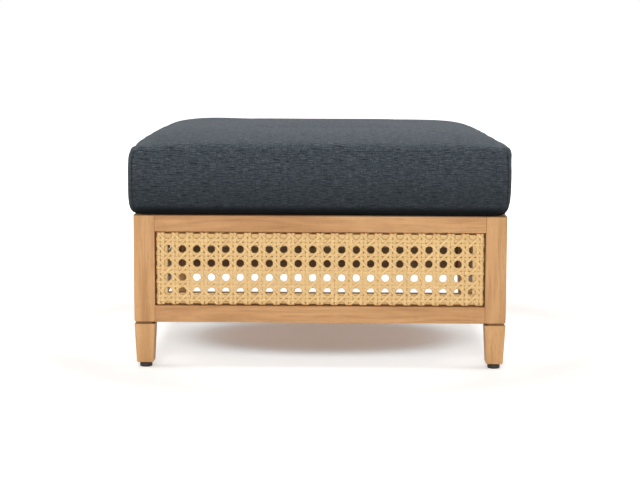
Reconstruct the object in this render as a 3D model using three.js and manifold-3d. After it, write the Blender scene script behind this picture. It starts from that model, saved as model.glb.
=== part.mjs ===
// Outdoor ottoman footstool: a square wooden frame on four tapered feet, with woven cane panels in its
// four sides, slats across the top and a loose box cushion.
// Millimetres, +Z up, the origin on the floor under the middle, the front towards -Y.
import * as THREE from 'three';
import { mergeVertices } from 'three/addons/utils/BufferGeometryUtils.js';
import Module from 'manifold-3d';

const wasm = await Module();
wasm.setup();

// Sizes of the frame
const frameWidth = 740; // left to right over the posts
const frameDepth = 740; // front to back over the posts
const frameTop = 307.9; // top of the posts and rails above the floor
const postLength = 215;
const postWidth = 42;
const postCornerRound = 5; // the upright edge that stands at the stool's corner
const postEase = 1.5; // the post's other edges
const postEndEase = 2.5;
const topRailHeight = 33.3;
const bottomRailHeight = 33;
const railDepth = 28;
const railEase = 1.2;
const tenonInset = 5; // outer face of the rail to its tenon
const tenonShoulder = 5; // above and below the tenon
const mortiseWall = 3; // wood left between the two tenons that meet in a post

// Sizes of the feet and what holds them
const footTopWidth = 41.5;
const footTipWidth = 34;
const footRound = 2;
const footTopEase = 1.5;
const footTipEase = 3;
const neckWidth = 31;
const neckHeight = 3.5; // the dark groove between post and foot
const boltDiameter = 8;
const boltWall = 2; // wood left between the bolt and the tenons
const boltInPost = 30;
const boltFootShare = 0.38; // of the foot's height
const glideDiameter = 25;
const glideHeight = 9.6;
const glideRound = 3.2;
const stemDiameter = 8;
const stemInGlide = 6;
const stemFootShare = 0.33; // of the foot's height

// Sizes of the cane panels
const caneSetback = 4; // the cane's face behind the face of the rails
const caneThickness = 2.2;
const caneMargin = 3; // dark gap between the cane's edge and the frame
const caneWrap = 2; // room for the strands that turn round the edge
const caneWrapDepth = 8;
const caneBorder = 16; // least cane between an edge and the middle of the nearest gap
const gapWidth = 15;
const gapHeight = 14;
const gapSpacingAcross = 28.76;
const gapSpacingUp = 28.2;
const gapDrop = 3.5; // the pattern sits this much below the middle of its panel
const stripWidth = 25;
const stripDepth = 20;

// Sizes of the slats
const slatCount = 5;
const slatWidth = 90;
const slatThickness = 15;
const slatEase = 2;
const slatEndGap = 8; // between an end slat and the posts
const cleatDepth = 20;
const cleatHeight = 17;

// Sizes of the cushion
const cushionOverhang = 8.5; // past the frame on each side
const cushionSide = 128; // from the frame up to the top seam
const cushionCrown = 35; // from the top seam up to the middle
const cushionTuck = 21; // how far the foot of the sides turns in
const cushionCorner = 42; // radius of the upright corners
const cushionDraw = 3; // how far each side is drawn in between its corners
const coverThickness = 2;
const foamGap = 1; // between foam and cover, other than underneath

// Sizes of the zip in the back of the cover
const zipEndGap = 88.5; // from the widest part of the cushion to the zip's end
const zipRise = 66; // middle of the zip above the frame
const zipRecess = 10; // floor of the zip's bay behind the widest part of the side
const zipBayHeight = 25;
const zipMouthHeight = 9; // opening into the cover behind the tape
const placketThickness = 2.5;
const placketBorder = 6;
const tapeWidth = 23;
const tapeThickness = 0.9;
const coilWidth = 5.5;
const coilThickness = 2;
const sliderLength = 12;
const sliderWall = 1.3;
const sliderEndGap = 10; // from the end of the tape to the slider when the zip is closed
const bailLength = 8;
const bailWidth = 1.8;
const bailBar = 1.1; // thickness of the bail over its window
const bailFoot = 1.2;
const bailWindow = 1.7; // height of the window that the pull's bar lies in
const pullLength = 24;
const pullWidth = 7;
const pullThickness = 1;
const pullArm = 1.1;
const pullEyeLength = 7;
const pullBarDiameter = 1;

// Clearances
const fitGap = 0.3; // between pieces that seat on or in each other
const overrun = 4; // how far a cut runs past the face that it opens
const eyeGap = 0.6; // between the pull's eye and the bail

// Counts and shares
const boreSides = 12;
const glideSides = 16;
const roundSteps = 2;
const cornerSteps = 4;
const cornerSides = [0, 1, 2, 3];
const drawShares = [-0.36, 0.36]; // points along each straight side of the cushion
const sideShares = [ // height as a share of the side, turn-in as a share of the tuck
  [0, 1],
  [0.045, 0.6],
  [0.13, 0.24],
  [0.33, 0.03],
  [0.7, 0],
  [0.9, 0.1],
  [1, 0.3],
];
const foamSideShares = [sideShares[0], sideShares[2], sideShares[4], sideShares[6]];
const crownRingShares = [0.965, 0.9, 0.79, 0.6, 0.3];
const foamCrownShares = [0.9, 0.6];
const crownPower = 7;
const halfRound = Math.PI;
const quarterTurn = halfRound / 2;

// Heights and places that follow from the sizes
const postBottom = frameTop - postLength;
const footTop = postBottom - fitGap - neckHeight;
const footBottom = glideHeight + fitGap;
const footHeight = footTop + neckHeight - footBottom;
const boltInFoot = footHeight * boltFootShare;
const stemInFoot = footHeight * stemFootShare;
const openingTop = frameTop - topRailHeight;
const openingBottom = postBottom + bottomRailHeight;
const tenonFar = postWidth / 2 - boltDiameter / 2 - boltWall - 2 * fitGap; // outer face to inner cheek
const tenonLength = postWidth - tenonFar - mortiseWall;
const cushionBottom = frameTop + fitGap;
const slatSpan = frameWidth - 2 * (postWidth + slatEndGap);
const corners = [
  { name: 'front_left', x: -1, y: -1 },
  { name: 'front_right', x: 1, y: -1 },
  { name: 'rear_right', x: 1, y: 1 },
  { name: 'rear_left', x: -1, y: 1 },
];
const sides = [
  { name: 'front', width: frameWidth, reach: frameDepth / 2 },
  { name: 'right', width: frameDepth, reach: frameWidth / 2 },
  { name: 'rear', width: frameWidth, reach: frameDepth / 2 },
  { name: 'left', width: frameDepth, reach: frameWidth / 2 },
];

// Finishes
const finish = (color, roughness, metalness) =>
  new THREE.MeshStandardMaterial({ color, roughness, metalness });
const postWood = () => finish(0xd0a06c, 0.62, 0);
const railWood = () => finish(0xcc9d6b, 0.62, 0);
const innerWood = () => finish(0xc79a66, 0.7, 0);
const cane = () => finish(0xe1b97d, 0.45, 0);
const fabric = () => finish(0x454c51, 0.92, 0);
const foam = () => finish(0xe9e2cf, 0.95, 0);
const blackRubber = () => finish(0x282221, 0.6, 0);
const steel = () => finish(0xa9abad, 0.35, 0.9);
const zipTape = () => finish(0x363b40, 0.85, 0);
const zipMetal = () => finish(0x77797b, 0.35, 0.9);

// A closed geometry as a solid that can be joined and cut
function solid(geometry) {
  const bare = geometry.clone();
  bare.deleteAttribute('normal');
  bare.deleteAttribute('uv');
  const merged = mergeVertices(bare);
  return new wasm.Manifold(new wasm.Mesh({
    numProp: 3,
    vertProperties: new Float32Array(merged.attributes.position.array),
    triVerts: new Uint32Array(merged.index.array),
  }));
}

// A solid back as a geometry
function surface(body) {
  const { vertProperties, triVerts } = body.getMesh();
  const geometry = new THREE.BufferGeometry();
  geometry.setAttribute('position', new THREE.BufferAttribute(vertProperties, 3));
  geometry.setIndex(new THREE.BufferAttribute(triVerts, 1));
  geometry.computeVertexNormals();
  return geometry;
}

function piece(name, geometry, material) {
  const mesh = new THREE.Mesh(geometry, material);
  mesh.name = name;
  return mesh;
}

// A block between its lowest and its highest corner
function block([x0, y0, z0], [x1, y1, z1]) {
  const geometry = new THREE.BoxGeometry(x1 - x0, y1 - y0, z1 - z0);
  return geometry.translate((x0 + x1) / 2, (y0 + y1) / 2, (z0 + z1) / 2);
}

// An upright round bar from one height to another
function upright(diameter, bottom, top) {
  const geometry = new THREE.CylinderGeometry(diameter / 2, diameter / 2, top - bottom, boreSides);
  return geometry.rotateX(quarterTurn).translate(0, 0, (bottom + top) / 2);
}

// A skin over stacked rings of equally many points, closed by a fan at each end
function loft(rings) {
  const count = rings[0].length;
  const points = rings.flat();
  const middle = (points) => {
    const sum = new THREE.Vector3();
    points.forEach((point) => sum.add(point));
    return sum.divideScalar(count);
  };
  const bottomMiddle = points.length;
  const topMiddle = bottomMiddle + 1;
  points.push(middle(rings[0]), middle(rings[rings.length - 1]));
  const index = [];
  for (let i = 0; i < count; i += 1) {
    const next = (i + 1) % count;
    index.push(bottomMiddle, next, i);
    for (let ring = 1; ring < rings.length; ring += 1) {
      const below = (ring - 1) * count;
      const above = ring * count;
      index.push(below + i, below + next, above + next, below + i, above + next, above + i);
    }
    const last = (rings.length - 1) * count;
    index.push(topMiddle, last + i, last + next);
  }
  const geometry = new THREE.BufferGeometry().setFromPoints(points);
  geometry.setIndex(index);
  geometry.computeVertexNormals();
  return geometry;
}

// The outline of a block with rounded upright edges, at one height. Its radii start at the edge to the
// left and front and go round towards the right. The drawn sides bow inwards between their edges.
function ring(halfWidth, halfDepth, radii, z, steps, draw = 0) {
  const points = [];
  for (const side of cornerSides) {
    const turn = side * quarterTurn;
    const across = side % 2 === 0 ? halfWidth : halfDepth;
    const along = side % 2 === 0 ? halfDepth : halfWidth;
    const radius = radii[side];
    const nextRadius = radii[(side + 1) % radii.length];
    const local = [];
    for (let i = 0; i <= steps; i += 1) {
      const angle = halfRound + (quarterTurn * i) / steps;
      local.push([-across + radius * (1 + Math.cos(angle)), -along + radius * (1 + Math.sin(angle))]);
    }
    if (draw > 0) {
      const straight = across - (radius + nextRadius) / 2;
      const centre = (radius - nextRadius) / 2;
      for (const share of drawShares) {
        local.push([centre + share * straight, -along + draw * (1 - share * share)]);
      }
    }
    local.forEach(([x, y]) => points.push(new THREE.Vector3(
      x * Math.cos(turn) - y * Math.sin(turn),
      x * Math.sin(turn) + y * Math.cos(turn),
      z,
    )));
  }
  return points;
}

// A bar along X, centred, with its four long edges eased
function bar(length, depth, height, ease) {
  const shape = new THREE.Shape();
  const [y, z] = [depth / 2 - ease, height / 2 - ease];
  shape.absarc(y, -z, ease, -quarterTurn, 0);
  shape.absarc(y, z, ease, 0, quarterTurn);
  shape.absarc(-y, z, ease, quarterTurn, halfRound);
  shape.absarc(-y, -z, ease, halfRound, halfRound + quarterTurn);
  const along = { depth: length, bevelEnabled: false, curveSegments: roundSteps };
  const geometry = new THREE.ExtrudeGeometry(shape, along);
  return geometry.rotateX(quarterTurn).rotateZ(quarterTurn).translate(-length / 2, 0, 0);
}

// Posts: the mortises for the two rails that meet there open on the faces to the right and to the back
function post() {
  const half = postWidth / 2;
  const radii = [postCornerRound, postEase, postEase, postEase];
  const soft = (inset, z) => ring(
    half - inset,
    half - inset,
    radii.map((radius) => Math.max(radius - inset, radius / 2)),
    z,
    roundSteps,
  );
  let body = solid(loft([
    soft(postEndEase / 2, 0),
    soft(0, postEndEase / 2),
    soft(0, postLength - postEndEase),
    soft(postEndEase / 4, postLength - postEndEase / 3),
    soft(postEndEase, postLength),
  ]));
  const near = tenonInset - fitGap - half;
  const far = tenonFar + fitGap - half;
  const floor = half - tenonLength;
  for (const [bottom, height] of [[0, bottomRailHeight], [postLength - topRailHeight, topRailHeight]]) {
    const low = bottom + tenonShoulder - fitGap;
    const high = bottom + height - tenonShoulder + fitGap;
    body = body.subtract(solid(block([floor, near, low], [half + overrun, far, high])));
    body = body.subtract(solid(block([near, floor, low], [far, half + overrun, high])));
  }
  return surface(body.subtract(solid(upright(boltDiameter + 2 * fitGap, -overrun, boltInPost + fitGap))));
}

// Feet: a tapered block under a narrower neck, bored for the bolt above and the glide's stem below
function foot() {
  const height = footHeight - neckHeight;
  const soft = (width, z) => ring(width / 2, width / 2, cornerSides.map(() => footRound), z, roundSteps);
  const taperTop = footTopWidth - 2 * footTopEase;
  const body = solid(loft([
    soft(footTipWidth - footTipEase, 0),
    soft(footTipWidth, footTipEase),
    soft(footTopWidth, height - footTopEase),
    soft(taperTop, height),
    soft(neckWidth, height),
    soft(neckWidth, footHeight),
  ]));
  const boltBore = solid(upright(
    boltDiameter + 2 * fitGap,
    footHeight - boltInFoot - fitGap,
    footHeight + overrun,
  ));
  const stemBore = solid(upright(stemDiameter + 2 * fitGap, -overrun, stemInFoot + fitGap));
  return surface(body.subtract(boltBore).subtract(stemBore));
}

// Glides: a round pad with soft edges and a socket on top for its stem
function glide() {
  const radius = glideDiameter / 2;
  const socket = stemDiameter / 2 + fitGap;
  const arc = (middle, start) => Array.from({ length: roundSteps + 1 }, (_, i) => {
    const angle = start + (quarterTurn * i) / roundSteps;
    const out = radius - glideRound * (1 - Math.cos(angle));
    return new THREE.Vector2(out, middle + glideRound * Math.sin(angle));
  });
  const profile = [
    new THREE.Vector2(0, 0),
    ...arc(glideRound, -quarterTurn),
    ...arc(glideHeight - glideRound, 0),
    new THREE.Vector2(socket, glideHeight),
    new THREE.Vector2(socket, glideHeight - stemInGlide - fitGap),
    new THREE.Vector2(0, glideHeight - stemInGlide - fitGap),
  ];
  return surface(solid(new THREE.LatheGeometry(profile, glideSides).rotateX(quarterTurn)));
}

function legs() {
  const group = new THREE.Group();
  corners.forEach(({ name, x, y }, turn) => {
    const leg = new THREE.Group();
    leg.position.set(x * (frameWidth - postWidth) / 2, y * (frameDepth - postWidth) / 2, 0);
    leg.rotation.z = turn * quarterTurn;
    const postMesh = piece(`post_${name}`, post(), postWood());
    postMesh.position.z = postBottom;
    const footMesh = piece(`foot_${name}`, foot(), postWood());
    footMesh.position.z = footBottom;
    const bolt = upright(boltDiameter, postBottom - fitGap - boltInFoot, postBottom + boltInPost);
    const stem = upright(stemDiameter, glideHeight - stemInGlide, footBottom + stemInFoot);
    leg.add(postMesh, footMesh, piece(`hanger_bolt_${name}`, bolt, steel()));
    leg.add(piece(`glide_${name}`, glide(), blackRubber()), piece(`glide_stem_${name}`, stem, steel()));
    group.add(leg);
  });
  return group;
}

// Rails: eased bars with a tenon at each end
function rail(width, height) {
  const length = width - 2 * (postWidth + fitGap);
  const reach = length / 2 + tenonLength;
  const high = height / 2 - tenonShoulder;
  const outer = -railDepth / 2;
  const tenons = solid(block([-reach, outer + tenonInset, -high], [reach, outer + tenonFar, high]));
  return surface(solid(bar(length, railDepth, height, railEase)).add(tenons));
}

// Sub-frame strips: full size at the back, and set in at the front where the cane turns round them.
// A strip's outer edges are those that lie on the panel's own outline.
function strip(low, high, half, face) {
  const front = face + caneSetback + caneThickness + fitGap;
  const back = front + stripDepth;
  const trimmed = (near, amount) => solid(block(
    [Math.max(low[0], amount - half), near, Math.max(low[1], openingBottom + amount)],
    [Math.min(high[0], half - amount), back, Math.min(high[1], openingTop - amount)],
  ));
  return surface(trimmed(front + caneWrapDepth, fitGap).add(trimmed(front, caneMargin + caneWrap)));
}

// Cane: a flat net with rows and columns of gaps, its face at zero and its back towards +Y
function net(width, height) {
  const plate = (x, z, wide, high, near, far) => solid(block(
    [x - wide / 2, near, z - high / 2],
    [x + wide / 2, far, z + high / 2],
  ));
  const columns = Math.floor((width - 2 * caneBorder) / gapSpacingAcross) + 1;
  const rows = Math.floor((height - 2 * caneBorder) / gapSpacingUp) + 1;
  let body = plate(0, 0, width, height, 0, caneThickness);
  for (let row = 0; row < rows; row += 1) {
    for (let column = 0; column < columns; column += 1) {
      const x = (column - (columns - 1) / 2) * gapSpacingAcross;
      const z = (row - (rows - 1) / 2) * gapSpacingUp - gapDrop;
      body = body.subtract(plate(x, z, gapWidth, gapHeight, -overrun, caneThickness + overrun));
    }
  }
  return surface(body);
}

// One side of the frame, facing -Y: its two rails, the four strips of the sub-frame and the cane
function side({ name, width, reach }) {
  const group = new THREE.Group();
  const face = -reach;
  const railMiddle = face + railDepth / 2;
  const top = piece(`top_rail_${name}`, rail(width, topRailHeight), railWood());
  top.position.set(0, railMiddle, frameTop - topRailHeight / 2);
  const bottom = piece(`bottom_rail_${name}`, rail(width, bottomRailHeight), railWood());
  bottom.position.set(0, railMiddle, postBottom + bottomRailHeight / 2);
  const half = width / 2 - postWidth;
  const innerTop = openingTop - stripWidth;
  const innerBottom = openingBottom + stripWidth;
  const strips = {
    top: [[-half, innerTop], [half, openingTop]],
    bottom: [[-half, openingBottom], [half, innerBottom]],
    left: [[-half, innerBottom + fitGap], [stripWidth - half, innerTop - fitGap]],
    right: [[half - stripWidth, innerBottom + fitGap], [half, innerTop - fitGap]],
  };
  for (const [edge, [low, high]] of Object.entries(strips)) {
    group.add(piece(`panel_strip_${name}_${edge}`, strip(low, high, half, face), innerWood()));
  }
  const height = openingTop - openingBottom;
  const caneMesh = piece(`cane_${name}`, net(2 * (half - caneMargin), height - 2 * caneMargin), cane());
  caneMesh.position.set(0, face + caneSetback, (openingTop + openingBottom) / 2);
  group.add(top, bottom, caneMesh);
  return group;
}

// Slats from front to back, on a cleat along the front and one along the rear top rail
function slats() {
  const group = new THREE.Group();
  const cleatLength = frameWidth - 2 * (postWidth + fitGap);
  const cleatMiddle = frameDepth / 2 - railDepth - fitGap - cleatDepth / 2;
  for (const [name, y] of [['front', -cleatMiddle], ['rear', cleatMiddle]]) {
    const form = bar(cleatLength, cleatDepth, cleatHeight, slatEase);
    const cleat = piece(`slat_cleat_${name}`, form, innerWood());
    cleat.position.set(0, y, frameTop - slatThickness - fitGap - cleatHeight / 2);
    group.add(cleat);
  }
  const slatLength = frameDepth - 2 * (railDepth + fitGap);
  const pitch = (slatSpan - slatWidth) / (slatCount - 1);
  for (let i = 0; i < slatCount; i += 1) {
    const slat = piece(`slat_${i + 1}`, bar(slatLength, slatWidth, slatThickness, slatEase), innerWood());
    slat.rotation.z = quarterTurn;
    slat.position.set((i - (slatCount - 1) / 2) * pitch, 0, frameTop - slatThickness / 2);
    group.add(slat);
  }
  return group;
}

// The cushion's form, shrunk by an inset on all sides: sides that turn in at their foot and at the top
// seam and are drawn in between the corners, and a crown that falls off towards every edge
function cushionForm(inset, lift, profile, crownRings) {
  const halfWidth = frameWidth / 2 + cushionOverhang - inset;
  const halfDepth = frameDepth / 2 + cushionOverhang - inset;
  const bottom = cushionBottom + lift;
  const seam = cushionBottom + cushionSide - inset;
  const outline = (turnIn, z) => {
    const radii = cornerSides.map(() => cushionCorner - inset);
    return ring(halfWidth - turnIn, halfDepth - turnIn, radii, z, cornerSteps, cushionDraw);
  };
  const crown = (point) => {
    const fall = (share) => 1 - Math.abs(share) ** crownPower;
    return cushionCrown * fall(point.x / halfWidth) * fall(point.y / halfDepth);
  };
  const rings = profile.map(([up, turnIn]) => outline(turnIn * cushionTuck, bottom + up * (seam - bottom)));
  const edge = rings[rings.length - 1];
  for (const share of crownRings) {
    rings.push(edge.map((point) => {
      const place = new THREE.Vector3(point.x * share, point.y * share, seam);
      place.z += crown(place);
      return place;
    }));
  }
  return loft(rings);
}

// The cushion: foam in a cover, whose back has a bay for the zip with a mouth into the cover
function cushion() {
  const group = new THREE.Group();
  const rearFace = frameDepth / 2 + cushionOverhang;
  const zipMiddle = frameTop + zipRise;
  const floor = rearFace - zipRecess;
  const halfZip = frameWidth / 2 + cushionOverhang - zipEndGap;
  const band = (halfLength, halfHeight, near, far) => solid(block(
    [-halfLength, near, zipMiddle - halfHeight],
    [halfLength, far, zipMiddle + halfHeight],
  ));
  const outside = solid(cushionForm(0, 0, sideShares, crownRingShares));
  const inside = solid(cushionForm(coverThickness, coverThickness, sideShares, crownRingShares));
  const bayHalf = halfZip + fitGap;
  const bayHeight = zipBayHeight / 2;
  const placketHalf = bayHalf + placketBorder;
  const placketHeight = bayHeight + placketBorder;
  const placketBack = floor - placketThickness;
  const placket = band(placketHalf, placketHeight, placketBack, rearFace + overrun).intersect(outside);
  const bay = band(bayHalf, bayHeight, floor, rearFace + overrun);
  const mouth = band(halfZip - placketBorder, zipMouthHeight / 2, placketBack - overrun, rearFace);
  const cover = outside.subtract(inside).add(placket).subtract(bay).subtract(mouth);
  group.add(piece('cushion_cover', surface(cover), fabric()));

  const foamInset = coverThickness + foamGap;
  const core = solid(cushionForm(foamInset, coverThickness + fitGap, foamSideShares, foamCrownShares));
  const room = band(placketHalf + foamGap, placketHeight + foamGap, placketBack - foamGap, rearFace);
  group.add(piece('cushion_foam', surface(core.subtract(room)), foam()));

  // Tape with its coil along the middle
  const tapeBack = floor + fitGap;
  const tapeFront = tapeBack + tapeThickness;
  const coilFront = tapeFront + coilThickness;
  const tape = band(halfZip, tapeWidth / 2, tapeBack, tapeFront);
  const coil = band(halfZip - placketBorder, coilWidth / 2, tapeBack, coilFront);
  group.add(piece('zip_tape', surface(tape.add(coil)), zipTape()));

  // Slider: a channel over the coil, with a bail on its back
  const sliderX = halfZip - placketBorder - sliderEndGap;
  const channelHalf = coilWidth / 2 + fitGap;
  const sliderHalf = channelHalf + sliderWall;
  const channelTop = coilFront + fitGap;
  const sliderTop = channelTop + sliderWall;
  const run = (x0, x1, z, near, far) => solid(block([x0, near, zipMiddle - z], [x1, far, zipMiddle + z]));
  const about = (half, z, near, far) => run(sliderX - half, sliderX + half, z, near, far);
  const halfBail = bailLength / 2;
  const bailTop = sliderTop + bailWindow + bailBar;
  const windowHalf = halfBail - bailFoot;
  const channel = about(sliderLength, channelHalf, tapeBack, channelTop);
  const bail = about(halfBail, bailWidth / 2, channelTop, bailTop)
    .subtract(about(windowHalf, bailWidth, sliderTop, sliderTop + bailWindow));
  const slider = about(sliderLength / 2, sliderHalf, tapeFront + fitGap, sliderTop)
    .subtract(channel)
    .add(bail);
  group.add(piece('zip_slider', surface(slider), zipMetal()));

  // Pull: an eye whose bar lies in the bail's window, and a tab that lies along the zip
  const barMiddle = sliderTop + bailWindow / 2;
  const eyeHalf = bailWidth / 2 + eyeGap;
  const armHalf = eyeHalf + pullArm;
  const tabStart = sliderX - pullEyeLength;
  const halfPull = pullThickness / 2;
  const flat = (x0, x1, z) => run(x0, x1, z, barMiddle - halfPull, barMiddle + halfPull);
  const eyeBar = new THREE.CylinderGeometry(pullBarDiameter / 2, pullBarDiameter / 2, 2 * armHalf, boreSides)
    .rotateX(quarterTurn)
    .translate(sliderX, barMiddle, zipMiddle);
  const pull = flat(tabStart, sliderX, armHalf)
    .subtract(run(tabStart, sliderX + overrun, eyeHalf, barMiddle - pullThickness, barMiddle + pullThickness))
    .add(flat(sliderX - pullLength, tabStart, pullWidth / 2))
    .add(solid(eyeBar));
  group.add(piece('zip_pull', surface(pull), zipMetal()));
  return group;
}

const ottoman = new THREE.Group();
ottoman.add(legs(), slats(), cushion());
sides.forEach((place, turn) => {
  const group = side(place);
  group.rotation.z = turn * quarterTurn;
  ottoman.add(group);
});

export default ottoman;
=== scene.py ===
"""An outdoor ottoman footstool: a pale hardwood frame with woven cane panels and a loose slate cushion.

Metres throughout, in the frame of the CAD model: the front faces -Y and the floor is at Z 0.
"""

import math

import bpy
import numpy as np
from mathutils import Matrix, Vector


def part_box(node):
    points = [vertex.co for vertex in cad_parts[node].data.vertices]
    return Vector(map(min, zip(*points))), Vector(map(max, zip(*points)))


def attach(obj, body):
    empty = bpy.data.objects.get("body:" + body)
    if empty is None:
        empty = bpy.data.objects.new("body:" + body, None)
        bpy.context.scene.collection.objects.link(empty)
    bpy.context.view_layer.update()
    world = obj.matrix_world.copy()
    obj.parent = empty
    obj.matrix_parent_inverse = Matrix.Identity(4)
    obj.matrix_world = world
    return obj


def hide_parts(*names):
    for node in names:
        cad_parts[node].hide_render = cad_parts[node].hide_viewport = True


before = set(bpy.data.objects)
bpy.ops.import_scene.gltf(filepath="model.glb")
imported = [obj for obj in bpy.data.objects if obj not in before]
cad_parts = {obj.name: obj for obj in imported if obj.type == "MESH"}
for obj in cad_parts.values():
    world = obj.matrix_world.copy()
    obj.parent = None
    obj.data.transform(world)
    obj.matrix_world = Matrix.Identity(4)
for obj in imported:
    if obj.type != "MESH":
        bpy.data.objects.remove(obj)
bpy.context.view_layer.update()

scene = bpy.context.scene

MM = 0.001
QUARTER = math.pi / 2
SIDES = ("front", "right", "rear", "left")
CORNERS = {"front_left": (-1, -1), "front_right": (1, -1), "rear_right": (1, 1), "rear_left": (-1, 1)}
chance = np.random.default_rng(41)


# Meshes

def mm(*sizes):
    """Sizes in millimetres, as metres."""
    return [size * MM for size in sizes]


def linked(name, data):
    made = bpy.data.objects.new(name, data)
    scene.collection.objects.link(made)
    return made


def numbered(*shape):
    return np.arange(math.prod(shape)).reshape(shape)


def walls(index):
    """Faces between each ring of points and the next, from the points' numbers by bar, station and round."""
    turned = np.roll(index, -1, axis=2)
    return np.stack([index[:, :-1], turned[:, :-1], turned[:, 1:], index[:, 1:]], axis=-1).reshape(-1, 4)


def bar_faces(bars, stations, around):
    """Faces of closed bars: each ring of points is joined to the next, and both end rings are filled in pairs."""
    index = numbered(bars, stations, around)
    low = np.arange(around // 2 - 1)
    across = np.stack([low, low + 1, around - 2 - low, around - 1 - low], axis=-1)
    near, far = index[:, 0][:, across[:, ::-1]], index[:, -1][:, across]
    return np.concatenate([walls(index), near.reshape(-1, 4), far.reshape(-1, 4)])


def put(name, points, material, body, run=None, faces=None):
    """Makes one piece from points and four-sided faces, turned so that its volume is positive.

    Without faces, the points make closed bars. run gives each point its place along and across its own material.
    """
    if faces is None:
        faces = bar_faces(*points.shape[:3])
    points = points.reshape(-1, 3)
    a, b, c, d = (points[faces[:, k]] for k in range(4))
    if np.sum(a * (np.cross(b, c) + np.cross(c, d))) < 0:
        faces = faces[:, ::-1]
    mesh = bpy.data.meshes.new(name)
    mesh.vertices.add(len(points))
    mesh.vertices.foreach_set("co", points.ravel())
    mesh.loops.add(faces.size)
    mesh.loops.foreach_set("vertex_index", faces.ravel())
    mesh.polygons.add(len(faces))
    mesh.polygons.foreach_set("loop_start", np.arange(0, faces.size, 4))
    mesh.polygons.foreach_set("use_smooth", np.ones(len(faces), bool))
    mesh.update(calc_edges=True)
    if run is not None:
        layer = mesh.uv_layers.new(name="run")
        layer.data.foreach_set("uv", run.reshape(-1, 2)[faces.ravel()].ravel())
    mesh.materials.append(material)
    piece = linked(name, mesh)
    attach(piece, body)
    return piece


def plain(name, points, faces, material):
    """An object from a few points and faces, with flat faces of one material."""
    mesh = bpy.data.meshes.new(name)
    mesh.from_pydata(points, [], faces)
    mesh.materials.append(material)
    return linked(name, mesh)


def at_height(flat, height):
    """Lifts points in the plane to one height, or each to its own."""
    return np.column_stack([flat, np.broadcast_to(height, len(flat))])


def together(*parts):
    """Coordinates side by side, each spread over the others' shape."""
    return np.stack(np.broadcast_arrays(*parts), axis=-1)


def circle(count):
    """That many angles round a full turn."""
    return np.linspace(0, math.tau, count, endpoint=False)


def unit(vector):
    return vector / np.linalg.norm(vector, axis=-1, keepdims=True)


def bell(distance, width):
    """A Gaussian: 1 at the middle, and 1/e at that width from it."""
    return np.exp(-(distance / width) ** 2)


def wave(distance, length, shift=0):
    """A sine wave of that length."""
    return np.sin(distance * math.tau / length + shift)


# Material nodes

def add(source, kind, settings=None, **sockets):
    """Adds a node to the tree that source is, or has a part in.

    A socket, by its name or by i and its number, is linked to a node's output, and set to any other value.
    """
    tree = source.id_data
    made = tree.nodes.new(kind)
    for key, value in (settings or {}).items():
        setattr(made, key, value)
    for key, value in sockets.items():
        target = made.inputs[int(key[1:])] if key[1:].isdigit() else made.inputs[key.replace("_", " ")]
        if isinstance(value, bpy.types.NodeSocket):
            tree.links.new(value, target)
        else:
            target.default_value = value
    return made


def join(sockets, **values):
    """Links each value to the socket of that name. None leaves its socket as it is."""
    for key, value in values.items():
        if value is not None:
            value.id_data.links.new(value, sockets[key.replace("_", " ")])


def maths(operation):
    """A call that adds one Math node of that kind and gives its result."""
    def result(first, second=0.0):
        return add(first, "ShaderNodeMath", {"operation": operation}, i0=first, i1=second).outputs[0]
    return result


times, plus, minus, greater, lesser, size_of, sine = map(
    maths, ("MULTIPLY", "ADD", "SUBTRACT", "MAXIMUM", "MINIMUM", "ABSOLUTE", "SINE"))


def blend(factor, first, second):
    return add(factor, "ShaderNodeMix", {"data_type": "RGBA"}, i0=factor, i6=first, i7=second).outputs[2]


def dimmed(colour, level):
    """The colour times a grey level."""
    grey = add(level, "ShaderNodeCombineColor", Red=level, Green=level, Blue=level).outputs[0]
    kind = {"data_type": "RGBA", "blend_type": "MULTIPLY"}
    return add(level, "ShaderNodeMix", kind, i0=1.0, i6=colour, i7=grey).outputs[2]


def spread(value, low, high, to_low=0.0, to_high=1.0):
    """Stretches the part of a value between low and high over a new range, and holds it beyond."""
    made = add(value, "ShaderNodeMapRange", {"interpolation_type": "SMOOTHSTEP"},
               Value=value, From_Min=low, From_Max=high, To_Min=to_low, To_Max=to_high)
    return made.outputs[0]


def stretched(vector, scale):
    return add(vector, "ShaderNodeMapping", Vector=vector, Scale=scale).outputs[0]


def noise(vector, scale, detail=2.0, roughness=0.5, distortion=0.0):
    """Noise of one scale, or of one scale each way."""
    if isinstance(scale, tuple):
        vector, scale = stretched(vector, scale), 1.0
    made = add(vector, "ShaderNodeTexNoise", Vector=vector, Scale=scale, Detail=detail,
               Roughness=roughness, Distortion=distortion)
    return made.outputs["Fac"]


def object_place(tree):
    return add(tree, "ShaderNodeTexCoord").outputs["Object"]


def parts_of(vector):
    return add(vector, "ShaderNodeSeparateXYZ", Vector=vector).outputs


def own_run(tree):
    """Each point's place along and across the piece's own material."""
    return add(tree, "ShaderNodeUVMap", {"uv_map": "run"}).outputs[0]


def new_group(name, inputs, outputs):
    """An empty node group: inputs and outputs give each socket's name and kind."""
    tree = bpy.data.node_groups.new(name, "ShaderNodeTree")
    for way, sockets in (("INPUT", inputs), ("OUTPUT", outputs)):
        for label, kind in sockets.items():
            tree.interface.new_socket(name=label, in_out=way, socket_type=f"NodeSocket{kind}")
    return tree, tree.nodes.new("NodeGroupInput").outputs, tree.nodes.new("NodeGroupOutput").inputs


def place_group(tree, group, **sockets):
    return add(tree, "ShaderNodeGroup", {"node_tree": group}, **sockets).outputs


def new_material(name, **constants):
    """A material with one Principled shader whose constant values are set on its own sockets."""
    material = bpy.data.materials.new(name)
    material.use_nodes = True
    tree = material.node_tree
    for key, value in constants.items():
        tree.nodes["Principled BSDF"].inputs[key.replace("_", " ")].default_value = value
    return material, tree


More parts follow.
